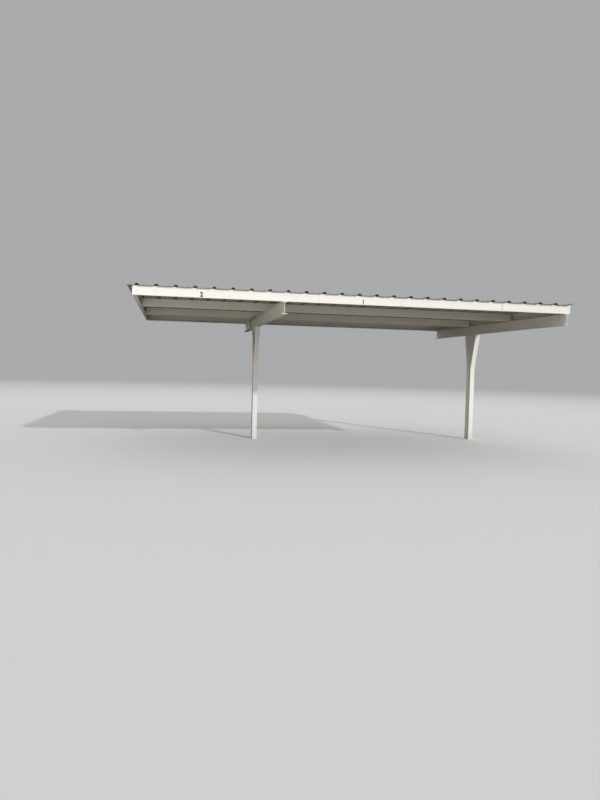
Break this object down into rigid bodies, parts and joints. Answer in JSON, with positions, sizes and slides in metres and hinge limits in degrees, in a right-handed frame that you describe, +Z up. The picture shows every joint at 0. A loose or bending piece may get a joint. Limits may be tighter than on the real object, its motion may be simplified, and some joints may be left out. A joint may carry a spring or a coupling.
{
  "type": "cantilever carport",
  "caption": "Open steel carport whose flat ribbed roof cantilevers forward from I-section posts with flared heads, edged all round by channels.",
  "frame": {"origin": "middle of the left post's foot, on the ground, where the post enters the slab", "axes": "+X along the front from left to right, +Y to the back of the parking space, +Z up"},
  "size_m": [7.7945, 6.02, 2.8763],
  "materials": {
    "painted_section": "white gloss enamel brushed and sprayed over rolled steel",
    "formed_channel": "white enamel on cold-formed galvanised channel",
    "roof_sheet": "bare aluminium-zinc coated ribbed sheet, dull grey",
    "screw": "zinc-plated hexagon head with a washer",
    "numeral": "black stencilled or vinyl numeral"
  },
  "bodies": {
    "root": {"left_post": "painted_section", "left_head_infill": "painted_section", "left_cap_plate": "painted_section", "left_rafter": "painted_section", "left_cleat_1": "formed_channel", "left_cleat_2": "formed_channel", "left_cleat_3": "formed_channel", "left_cleat_4": "formed_channel", "left_side_channel": "formed_channel", "right_post": "painted_section", "right_head_infill": "painted_section", "right_cap_plate": "painted_section", "right_rafter": "painted_section", "right_cleat_1": "formed_channel", "right_cleat_2": "formed_channel", "right_cleat_3": "formed_channel", "right_cleat_4": "formed_channel", "right_side_channel": "formed_channel", "front_fascia": "formed_channel", "second_purlin": "formed_channel", "third_purlin": "formed_channel", "back_channel": "formed_channel", "roof_sheet_1": "roof_sheet", "roof_sheet_2": "roof_sheet", "roof_sheet_3": "roof_sheet", "roof_sheet_4": "roof_sheet", "roof_sheet_5": "roof_sheet", "roof_sheet_6": "roof_sheet", "roof_sheet_7": "roof_sheet", "roof_sheet_8": "roof_sheet", "roof_sheet_9": "roof_sheet"}
  },
  "joints": []
}
